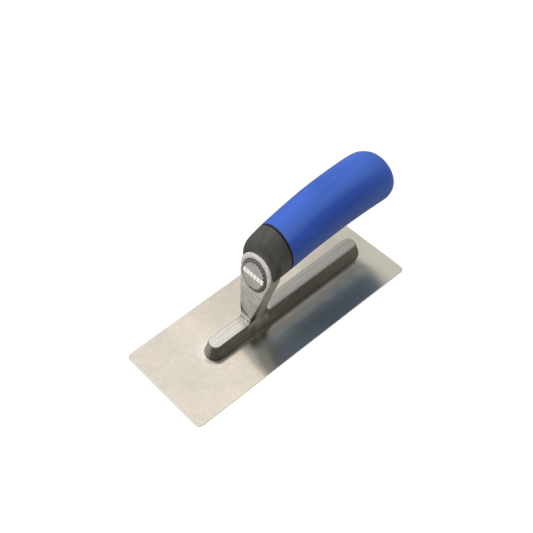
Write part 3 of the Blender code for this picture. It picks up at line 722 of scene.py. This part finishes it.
def blade_sheet():
    """Thin sheet with rounded corners, rounded edges and countersinks."""
    length, width = BLADE_HI.x, BLADE_HI.y
    corner, edge = 4.0 * MM, 0.14 * MM
    profile = [(-edge - 0.5 * MM, 0.0), (-edge - 0.05 * MM, 0.0), (-edge, 0.0)] + [
        (-edge * (1 - math.sin(a)), edge * (1 - math.cos(a)))
        for a in (math.pi / 2 * k / 3 for k in range(1, 4))]
    profile += [(offset, BLADE_TOP - height) for offset, height in reversed(profile)]
    bm = bmesh.new()
    loops = []
    for offset, height in profile:
        loop = []
        for sx, sy, start in ((1, 1, 0), (-1, 1, 1), (-1, -1, 2), (1, -1, 3)):
            for k in range(13):
                a = math.pi / 2 * (start + k / 12)
                loop.append(bm.verts.new((
                    sx * (length - corner) + (corner + offset) * math.cos(a),
                    sy * (width - corner) + (corner + offset) * math.sin(a),
                    height)))
        loops.append(loop)
    for one, two in zip(loops, loops[1:]):
        for k in range(len(one)):
            j = (k + 1) % len(one)
            bm.faces.new((one[k], one[j], two[j], two[k]))
    bm.faces.new(loops[0])
    bm.faces.new(loops[-1])
    mesh = finish_bmesh(bm, "blade_sheet")
    tools = []
    for number in range(1, 8):
        lo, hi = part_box("blade_rivet_%d" % number)
        centre, head = (lo.x + hi.x) / 2, (hi.x - lo.x) / 2
        slope = (head - 2.0 * MM) / BLADE_TOP
        low, high = -0.5 * MM, BLADE_TOP + 0.5 * MM
        tool = bmesh.new()
        bmesh.ops.create_cone(
            tool, cap_ends=True, segments=40, radius1=head + GAP * 0.5 - slope * low,
            radius2=head + GAP * 0.5 - slope * high, depth=high - low,
            matrix=Matrix.Translation((centre, 0.0, (low + high) / 2)))
        data = bpy.data.meshes.new("sink")
        tool.to_mesh(data)
        tool.free()
        tools.append(bpy.data.objects.new("sink_%d" % number, data))
    mesh = cut(mesh, "blade_sheet_work", *tools)
    mesh.set_sharp_from_angle(angle=math.radians(30))
    return new_object("blade_sheet", mesh, STAINLESS)


# -------------------------------------------------------------- shank casting
def smooth_noise(points, scale, octaves=2, seed=0.0):
    values = np.zeros(len(points))
    amount, total = 1.0, 0.0
    for octave in range(octaves):
        s = scale * 2**octave
        values += amount * np.fromiter(
            (noise.noise(Vector((p[0] * s + seed, p[1] * s - seed, p[2] * s + 2 * seed)))
             for p in points), float, len(points))
        total += amount
        amount *= 0.5
    return values / total


def shank_piece():
    """The CAD casting re-skinned: softened edges, cast grain, belt marks on
    the bar's ground top, a parting ridge and a gate mark on the face."""
    bm = bmesh.new()
    bm.from_mesh(NODES["shank_casting"].data)
    bmesh.ops.remove_doubles(bm, verts=bm.verts, dist=0.000002)
    mesh = bpy.data.meshes.new("shank_work")
    bm.to_mesh(mesh)
    bm.free()
    work = bpy.data.objects.new("shank_work", mesh)
    bpy.context.scene.collection.objects.link(work)
    skin = work.modifiers.new("skin", 'REMESH')
    skin.mode, skin.voxel_size, skin.adaptivity = 'VOXEL', 0.00034, 0.0
    mesh = baked(work)
    bpy.data.objects.remove(work, do_unlink=True)

    count = len(mesh.vertices)
    points = np.empty(count * 3)
    mesh.vertices.foreach_get("co", points)
    points = points.reshape(-1, 3)
    edges = np.empty(len(mesh.edges) * 2, int)
    mesh.edges.foreach_get("vertices", edges)
    a, b = edges.reshape(-1, 2).T
    valence = np.bincount(a, minlength=count) + np.bincount(b, minlength=count)

    def relax(values, times, amount):
        for _ in range(times):
            total = np.stack([np.bincount(a, values[b, k], count)
                              + np.bincount(b, values[a, k], count)
                              for k in range(values.shape[1])], 1)
            values = values + amount * (total / valence[:, None] - values)
        return values

    points = relax(points, 3, 0.5)
    mesh.vertices.foreach_set("co", points.ravel())
    mesh.update()
    normals = np.empty(count * 3)
    mesh.vertices.foreach_get("normal", normals)
    normals = normals.reshape(-1, 3)

    x, y, z = points.T
    face_n = np.array(FACE_NORMAL)
    face_u = np.array(FACE_UP)
    delta = points - np.array(FACE_CENTRE)
    depth = delta @ face_n
    up = delta @ face_u

    # ground top of the bar: one true plane with lengthwise belt marks
    on_top = (z > BAR_TOP - 0.28 * MM) & (normals[:, 2] > 0.80) \
        & ((x < 3.0 * MM) | (x > 22.0 * MM)) & (z < BAR_TOP + 0.4 * MM)
    ground = np.where(on_top, np.clip((normals[:, 2] - 0.80) / 0.15, 0, 1), 0.0)
    # rubbed front face
    on_face = (depth > -0.35 * MM) & (normals @ face_n > 0.55) & (up > -40 * MM)
    rubbed = np.where(on_face, np.clip((normals @ face_n - 0.55) / 0.3, 0, 1), 0.0)
    # rims of the top and the face catch a little of the same grinding
    edge_top = (z > BAR_TOP - 1.0 * MM) & (normals[:, 2] > 0.30) \
        & ((x < 2.0 * MM) | (x > 23.0 * MM))
    rubbed = np.maximum(rubbed, np.where(edge_top, 0.5 * np.clip(
        (normals[:, 2] - 0.30) / 0.4, 0, 1), 0.0))
    # the foot of the face, down to the bar
    foot = (x > 19 * MM) & (x < 26.5 * MM) & (z > 10.6 * MM) & (z < 14.0 * MM) \
        & (normals[:, 0] > 0.2)
    rubbed = np.where(foot, np.clip(0.75 - (z - 10.8 * MM) / (3.4 * MM) * 0.55, 0.2, 0.75), rubbed)
    # a painted highlight along the face's bottom edge
    worn = np.exp(-((z - 14.6 * MM) / (0.55 * MM))**2) * (normals[:, 0] > 0.5) \
        * (x > 19 * MM) * (x < 23 * MM)
    # grinding streaks run down the fillet under the face
    runs = smooth_noise(points * [0.0, 1.0, 0.12], 900.0, 2, 8.0)
    worn = np.maximum(worn, np.where(foot, np.clip(0.50 + 1.1 * runs, 0.10, 0.9), 0.0))
    # the outline's own rounded edge is polished by handling
    rounding = normals @ face_n
    worn = np.maximum(worn, np.where((depth > -1.0 * MM) & (up > -36 * MM)
                                     & (rounding > 0.45) & (rounding < 0.95)
                                     & (np.hypot(y, up) > 13.4 * MM), 0.50, 0.0))
    # a painted highlight down the face's left edge
    left = on_face & (y < 0) & (np.abs(y) > np.interp(
        up, [-34 * MM, -13 * MM, -4 * MM], [6.2 * MM, 9.6 * MM, 12.2 * MM]))
    worn = np.maximum(worn, np.where(left & (up > -30 * MM), 0.30, 0.0))
    # and the rim round the badge gets a painted highlight, brightest at its top
    rim = on_face & (np.hypot(y, up) > 12.6 * MM) & (up > -9 * MM)
    high = np.clip((up - 0.35 * y + 2 * MM) / (16 * MM), 0, 1)
    worn = np.maximum(worn, np.where(rim, 0.12 + 0.55 * high, 0.0))

    soft = relax(np.stack([ground, rubbed, worn], 1), 2, 0.5)
    ground, rubbed, worn = soft.T

    # cast grain everywhere that wasn't ground
    grain = smooth_noise(points, 900.0, 2) * 0.040 * MM \
        + smooth_noise(points, 260.0, 1, 5.0) * 0.050 * MM
    lift = grain * (1 - ground) * (1 - 0.55 * rubbed)
    # parting ridge along the middle plane, dressed flat where it was ground
    ridge = np.exp(-(y / (0.28 * MM))**2) * 0.14 * MM
    side = np.sqrt(normals[:, 0]**2 + normals[:, 2]**2) > 0.85
    inner = (np.abs(depth) < 9.0 * MM) & (up > -14 * MM) & (normals @ face_n > 0.5)
    lift += np.where(side & ~inner & (z > 2.0 * MM), ridge, 0.0) \
        * (1 - ground) * (1 - rubbed)
    # belt marks
    lines = smooth_noise(points * np.array([0.02, 1.0, 0.0]), 900.0, 2, 11.0)
    lift += ground * lines * 0.012 * MM

    # low bead along the bottom of the face
    lift += np.exp(-((z - 14.5 * MM) / (0.36 * MM))**2) * 0.24 * MM \
        * (normals[:, 0] > 0.5) * (x > 19 * MM) * (x < 23 * MM)
    # coarse file strokes across one half of the toe end; that half is also painted lighter, a painted
    # reflection
    strokes = (x > 51.5 * MM) & (z < 10.2 * MM) & (normals[:, 0] > 0.15)
    half = np.clip((0.30 - normals[:, 1]) / 0.35, 0, 1) * strokes
    comb = np.sin(z * (2 * math.pi / (1.15 * MM)))
    lift += half * comb * 0.05 * MM
    rubbed = np.maximum(rubbed, half * (0.54 + 0.34 * comb))

    # gate mark: a shallow curved groove low on the face, its near-black colour painted shade
    arc = [(-8.2, -30.6), (-6.4, -32.4), (-4.2, -34.4), (-1.8, -35.2),
           (0.4, -35.4), (2.6, -35.2)]
    best = np.full(count, 1.0)
    along = np.zeros(count)
    for k in range(len(arc) - 1):
        p0, p1 = np.array(arc[k]) * MM, np.array(arc[k + 1]) * MM
        d = p1 - p0
        q = np.stack([y, up], 1) - p0
        t = np.clip((q @ d) / (d @ d), 0, 1)
        dist = np.hypot(*(q - t[:, None] * d).T)
        near = dist < best
        best = np.where(near, dist, best)
        along = np.where(near, (k + t) / (len(arc) - 1), along)
    width = (1.45 - 0.95 * along) * MM
    groove = np.exp(-(best / width)**2) * (0.70 - 0.45 * along) * MM
    lift -= np.where(rubbed > 0.3, groove, 0.0)
    gate_shade = np.clip(1.35 * np.exp(-(best / width)**2), 0, 1) * (1.0 - 0.35 * along) \
        * ((up < -28 * MM) & (np.abs(depth) < 1.5 * MM) & (normals @ face_n > 0.5))

    # keep true planes true
    z = np.where(on_top, BAR_TOP, z)
    points = np.stack([x, y, z], 1)
    flat_face = on_face & (np.abs(depth) < 0.25 * MM) & (normals @ face_n > 0.93)
    points -= np.where(flat_face, depth, 0.0)[:, None] * face_n
    # the boss's rim is rounded off outwards all round the badge
    across = np.abs(y) / BOSS_HALF
    climb = (up - BOSS_SHOULDER) / (BOSS_TOP - BOSS_SHOULDER)
    size = (across**BOSS_SQUARENESS
            + np.abs(climb)**BOSS_SQUARENESS)**(1 / BOSS_SQUARENESS)
    size = np.where(climb > 0, size, across)
    dome = np.clip((size - 0.84) / 0.16, 0, 1)**1.6 * 0.42 * MM
    dome = dome * np.clip((up + 9 * MM) / (7 * MM), 0, 1)
    dome = np.where((depth > -1.2 * MM) & (normals @ face_n > 0.2), dome, 0.0)
    points -= dome[:, None] * face_n
    points += lift[:, None] * normals
    # stay inside the CAD part's own box
    lo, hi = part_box("shank_casting")
    points = np.clip(points, np.array(lo), np.array(hi))
    mesh.vertices.foreach_set("co", points.ravel())
    for name, values in (("linished", ground), ("rubbed", rubbed), ("worn", worn),
                         ("gate_shade", gate_shade)):
        layer = mesh.attributes.new(name, 'FLOAT', 'POINT')
        layer.data.foreach_set("value", np.clip(values, 0, 1).astype(np.float32))
    mesh.shade_smooth()
    mesh.update()
    return new_object("shank_body", mesh, CASTING)


# --------------------------------------------------------------------- handle
def along_axis(x):
    rise = math.radians(4.2)
    return Vector((x, 0.0, 66.8 * MM - (x + 112.0 * MM) * math.tan(rise)))


def axis_frame(x):
    rise = math.radians(4.2)
    direction = Vector((-math.cos(rise), 0.0, math.sin(rise)))
    return Matrix.Translation(along_axis(x)) \
        @ direction.to_track_quat('Z', 'Y').to_matrix().to_4x4()


def parting(angle, x, height=0.05 * MM):
    """Fine moulding line along the top and the bottom of the handle."""
    d = min(abs(math.sin(angle / 2)), abs(math.cos(angle / 2))) * 2
    return height * math.exp(-(d / 0.022)**2)


def collar_relief(x, angle):
    wave = noise.noise(Vector((x * 90.0, math.cos(angle) * 1.7, math.sin(angle) * 1.7)))
    return parting(angle, x, 0.045 * MM) + 0.035 * MM * wave - 0.04 * MM


def collar_piece():
    front = SEAM_X + SEAM_HALF_GAP
    sections = []
    for k in range(9):
        a = math.pi / 2 * k / 8
        sections.append(section(NOSE_X - NOSE_ROUND * (1 - math.cos(a)),
                                NOSE_LEAN, NOSE_ROUND * (1 - math.sin(a))))
    for x in spread(NOSE_X - NOSE_ROUND, front + 0.7 * MM, 16)[1:-1]:
        part = (x - NOSE_X) / (front - NOSE_X)
        sections.append(section(x, NOSE_LEAN + (SEAM_LEAN - NOSE_LEAN) * part))
    for k in range(6):
        a = math.pi / 2 * k / 5
        sections.append(section(front + 0.45 * MM * (1 - math.sin(a)), SEAM_LEAN,
                                0.45 * MM * (1 - math.cos(a))))
    sections.append(section(front, SEAM_LEAN, GRIP_WALL + GAP))
    for x in spread(-14 * MM, BUTT_CAP, 10):
        sections.append(section(x, 0.0, GRIP_WALL + GAP))
    reach = BUTT_END + GRIP_WALL + GAP - BUTT_CAP
    last = math.asin((-110.5 * MM - BUTT_CAP) / reach)
    for k in range(1, 6):
        a = last * k / 5
        sections.append(section(BUTT_CAP + reach * math.sin(a), 0.0,
                                GRIP_WALL + GAP, math.cos(a)**BUTT_POWER))
    mesh = loft("collar_work", sections, False, 128, collar_relief)
    place = leaning(FACE_CENTRE, FACE_LEAN)
    reach_in = (along_axis(-2 * MM) - along_axis(-18.3 * MM)).length
    mesh = cut(
        mesh, "collar_work",
        outline_prism("boss_room", neck_outline(0.4 * MM, 3, 0.5 * MM), -8.0 * MM,
                      NECK_THICKNESS + GAP, place),
        cylinder("spigot_room", 8.3 * MM, reach_in, 48, axis_frame(-2 * MM)),
        cylinder("long_bore", 4.3 * MM, 120 * MM, 32, axis_frame(-2 * MM)),
        cylinder("nut_pocket", 9.0 * MM, 20 * MM, 48, axis_frame(-97.9 * MM)))
    mesh.set_sharp_from_angle(angle=math.radians(35))
    return new_object("collar_core", mesh, NYLON)


def grip_relief(x, angle):
    wave = noise.noise(Vector((x * 45.0 + 3.0, math.cos(angle) * 1.3, math.sin(angle) * 1.3)))
    return parting(angle, x, 0.03 * MM) + 0.05 * MM * wave - 0.06 * MM


def grip_piece():
    rear = SEAM_X - SEAM_HALF_GAP
    lip = 0.45 * MM
    sections = []
    for k in range(7):                       # rolled lip at the seam
        a = math.pi / 2 * k / 6
        sections.append(section(rear - lip * (1 - math.cos(a)), SEAM_LEAN,
                                lip * (1 - math.sin(a))))
    for k in range(1, 5):
        x = rear - lip - 0.9 * MM * k
        sections.append(section(x, SEAM_LEAN * (1 - k / 5)))
    for x in spread(rear - lip - 4.6 * MM, BUTT_CAP, 66):
        sections.append(section(x))
    reach = BUTT_END - BUTT_CAP
    for k in range(1, 25):
        a = math.asin(0.93) * k / 24
        sections.append(section(BUTT_CAP + reach * math.sin(a), 0.0, 0.0,
                                math.cos(a)**BUTT_POWER))
    # rolled edge of the butt's hole
    sections.append(section(-115.25 * MM, radius=GRIP_HOLE + 0.55 * MM))
    sections.append(section(-115.2 * MM, radius=GRIP_HOLE + 0.25 * MM))
    sections.append(section(-115.0 * MM, radius=GRIP_HOLE + 0.04 * MM))
    sections.append(section(-114.6 * MM, radius=GRIP_HOLE))
    sections.append(section(-111.5 * MM, radius=GRIP_HOLE))
    reach = BUTT_END + GRIP_WALL - BUTT_CAP
    for k in range(4, 0, -1):
        a = math.asin(0.80) * k / 4
        sections.append(section(BUTT_CAP + reach * math.sin(a), 0.0, GRIP_WALL,
                                math.cos(a)**BUTT_POWER))
    for x in spread(BUTT_CAP, -14 * MM, 12):
        sections.append(section(x, 0.0, GRIP_WALL))
    sections.append(section(rear, SEAM_LEAN, GRIP_WALL))
    mesh = loft("grip_sleeve", sections, True, 160,
                lambda x, a: 0.0, 50.0)
    # relief only on the outside skin
    normals_ready = mesh
    count = 160
    outside = 7 + 4 + 66 + 24
    for index, vertex in enumerate(normals_ready.vertices):
        if index // count < outside:
            a = 2 * math.pi * (index % count) / count
            out = grip_relief(vertex.co.x, a)
            z = hermite(HANDLE, vertex.co.x)[0]
            radial = Vector((0.0, vertex.co.y, vertex.co.z - z))
            if radial.length > 0.009:
                vertex.co += radial.normalized() * out
    mesh.update()
    return new_object("grip_sleeve", mesh, BLUE)


# --------------------------------------------------------- turned small parts
def revolve(name, profile, matrix, steps, mat, sharp=40.0, relief=None):
    """Closed solid from a profile of (radius, height), top of the axis first."""
    bm = bmesh.new()
    loops = []
    for radius, height in profile:
        if radius < 1e-9:
            loops.append([bm.verts.new(matrix @ Vector((0, 0, height)))])
            continue
        loops.append([])
        for k in range(steps):
            a = 2 * math.pi * k / steps
            lift = relief(radius, a) if relief else 0.0
            loops[-1].append(bm.verts.new(matrix @ Vector(
                (radius * math.cos(a), radius * math.sin(a), height + lift))))
    for one, two in zip(loops, loops[1:]):
        for k in range(steps):
            j = (k + 1) % steps
            if len(one) == 1:
                bm.faces.new((one[0], two[k], two[j]))
            elif len(two) == 1:
                bm.faces.new((one[k], one[j], two[0]))
            else:
                bm.faces.new((one[k], one[j], two[j], two[k]))
    return new_object(name, finish_bmesh(bm, name, sharp), mat)


FACE = leaning(FACE_CENTRE, FACE_LEAN)


def reeding(radius, angle):
    """Fine ribs down the badge's sloping side."""
    inside = min(max((radius - 11.62 * MM) / (0.08 * MM), 0.0), 1.0) \
        * min(max((12.38 * MM - radius) / (0.08 * MM), 0.0), 1.0)
    return inside * 0.035 * MM * math.sin(angle * 90)


def badge_pieces():
    rim = [(0.0, 0.68 * MM), (10.9 * MM, 0.68 * MM), (11.35 * MM, 0.68 * MM),
           (11.50 * MM, 0.655 * MM), (11.60 * MM, 0.60 * MM), (11.66 * MM, 0.54 * MM)]
    rim += [(r * MM, (0.54 - 0.52 * ((r - 11.66) / 0.70)**1.3) * MM)
            for r in (11.76, 11.88, 12.0, 12.12, 12.24, 12.34)]
    rim += [(12.39 * MM, -0.04 * MM), (BADGE_RADIUS, -0.14 * MM),
            (BADGE_RADIUS, -1.1 * MM), (0.0, -1.1 * MM)]
    cap = revolve("badge_rim", rim, FACE, 540, DARK, 45.0, reeding)
    # slightly pillowed disc with a rounded edge and a shallow ring groove
    top = [(0.0, BADGE_TOP)]
    for r in (2.0, 4.0, 6.0, 7.5, 8.7, 9.4, 9.62):
        top.append((r * MM, BADGE_TOP - 0.07 * MM * (r / 10.4)**2))
    top += [(9.72 * MM, BADGE_TOP - 0.12 * MM), (9.82 * MM, BADGE_TOP - 0.13 * MM),
            (10.3 * MM, BADGE_TOP - 0.12 * MM), (10.8 * MM, BADGE_TOP - 0.11 * MM)]
    for k in range(7):
        a = math.pi / 2 * k / 6
        top.append((BADGE_LABEL - 0.22 * MM * (1 - math.sin(a)),
                    (0.82 + 0.22 * math.cos(a)) * MM))
    top += [(BADGE_LABEL, 0.8 * MM), (0.0, 0.8 * MM)]
    disc = revolve("badge_disc", top, FACE, 160, FILM, 50.0)
    return cap, disc


def plug_piece():
    place = Matrix.Translation(PLUG_AXIS) @ Matrix.Rotation(-math.pi / 2, 4, 'Y')
    outline = [(0.0, 5.05), (2.0, 5.06), (4.5, 5.10), (6.6, 5.12), (8.2, 5.06),
               (9.2, 4.90), (9.6, 4.78), (9.85, 4.60), (9.97, 4.36), (10.0, 4.1),
               (10.0, 0.0), (8.2, 0.0), (8.2, -2.2), (0.0, -2.2)]
    return revolve("butt_cap", [(r * MM, h * MM) for r, h in outline], place, 128,
                   BLUE_PLUG)


# ---------------------------------------------------------------- put together
blade = blade_sheet()
shank = shank_piece()
collar = collar_piece()
grip = grip_piece()
cap, disc = badge_pieces()
plug = plug_piece()
for piece, node, slot in (
        (blade, "blade", "stainless_blade"),
        (shank, "shank_casting", "cast_alloy"),
        (collar, "handle_core", "grey_nylon"),
        (grip, "soft_grip", "blue_soft_rubber"),
        (cap, "badge_cap", "badge_dark_plastic"),
        (disc, "badge_label", "badge_grey_film"),
        (plug, "butt_plug", "blue_plug")):
    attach(piece, "root")
    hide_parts(node)

# ---------------------------------------------------------------------- studio
scene = bpy.context.scene
scene.view_settings.view_transform = 'Standard'
scene.view_settings.look = 'None'
scene.view_settings.exposure = 0.0
scene.view_settings.gamma = 1.0

floor_mesh = bpy.data.meshes.new("floor")
floor_mesh.from_pydata([(-3, -3, 0), (3, -3, 0), (3, 3, 0), (-3, 3, 0)], [],
                       [(0, 1, 2, 3)])
floor_finish = Finish("floor_white")
floor_finish.set(Base_Color=(0.42, 0.42, 0.42), Roughness=0.9,
                 Specular_IOR_Level=0.0,
                 Emission_Color=(1.0, 1.0, 1.0), Emission_Strength=0.78)
floor = new_object("floor", floor_mesh, floor_finish.mat)
floor.location.z = -0.0002
# the white sheet fills the picture, and the room below lights the underside
floor.visible_diffuse = False
floor.visible_glossy = False

world = bpy.data.worlds.new("studio")
scene.world = world
world.use_nodes = True
tree = world.node_tree
sky = tree.nodes["Background"]
where = tree.nodes.new("ShaderNodeTexCoord")
toward = tree.nodes.new("ShaderNodeVectorMath")
toward.operation = 'DOT_PRODUCT'
toward.inputs[1].default_value = Vector((0.15, -0.30, 0.94)).normalized()
tree.links.new(where.outputs["Generated"], toward.inputs[0])
ramp = tree.nodes.new("ShaderNodeValToRGB")
shift = tree.nodes.new("ShaderNodeMapRange")
shift.inputs["From Min"].default_value = -1.0
shift.inputs["From Max"].default_value = 1.0
tree.links.new(toward.outputs["Value"], shift.inputs["Value"])
tree.links.new(shift.outputs["Result"], ramp.inputs["Fac"])
# (cosine from the key direction, brightness, warmth)
STOPS = ((-1.0, 0.41, 0.13), (-0.45, 0.41, 0.13), (0.05, 0.32, 0.07),
         (0.45, 0.42, 0.03), (0.70, 0.60, 0.04), (0.79, 0.80, 0.05),
         (0.85, 1.08, 0.05), (0.88, 1.10, 0.05), (0.92, 1.12, 0.05),
         (1.0, 1.40, 0.02))
SCALE = 2.0
while len(ramp.color_ramp.elements) < len(STOPS):
    ramp.color_ramp.elements.new(0.5)
for element, (cosine, level, warm) in zip(ramp.color_ramp.elements, STOPS):
    element.position = (cosine + 1) / 2
    element.color = (level / SCALE * (1 + warm), level / SCALE,
                     level / SCALE * (1 - 1.5 * warm), 1.0)
tree.links.new(ramp.outputs["Color"], sky.inputs["Color"])
sky.inputs["Strength"].default_value = SCALE


def softbox(name, place, target, size, power, colour=(1.0, 1.0, 1.0)):
    data = bpy.data.lights.new(name, 'AREA')
    data.shape, data.size, data.size_y = 'RECTANGLE', size[0], size[1]
    data.energy, data.color = power, colour
    obj = bpy.data.objects.new(name, data)
    scene.collection.objects.link(obj)
    obj.location = place
    obj.rotation_mode = 'QUATERNION'
    obj.rotation_quaternion = (Vector(target) - Vector(place)).to_track_quat('-Z', 'Y')
    return obj


key = softbox("key_softbox", (0.60, -0.75, 1.10), (0.0, 0.0, 0.03), (0.6, 0.5), 8.0)
key.visible_glossy = False
softbox("side_softbox", (0.80, -0.55, 0.32), (0.0, 0.0, 0.045), (0.35, 0.35), 1.6).visible_glossy = False

# ---------------------------------------------------------------------- camera
camera_data = bpy.data.cameras.new("camera")
camera = bpy.data.objects.new("camera", camera_data)
scene.collection.objects.link(camera)
camera_data.sensor_width = 36.0
camera_data.lens = 36.0 * 1077.229 / 533.0
camera_data.clip_start, camera_data.clip_end = 0.02, 20.0
forward = Vector((-0.38724512, -0.5144215, -0.76512204))
right = Vector((-0.74740375, 0.66106542, -0.06618267))
above = -Vector((0.53984151, 0.54622617, -0.64047491))
camera.matrix_world = Matrix((
    (right.x, above.x, -forward.x, 0.289597),
    (right.y, above.y, -forward.y, 0.388160),
    (right.z, above.z, -forward.z, 0.627791),
    (0.0, 0.0, 0.0, 1.0)))
scene.camera = camera

bpy.context.view_layer.update()
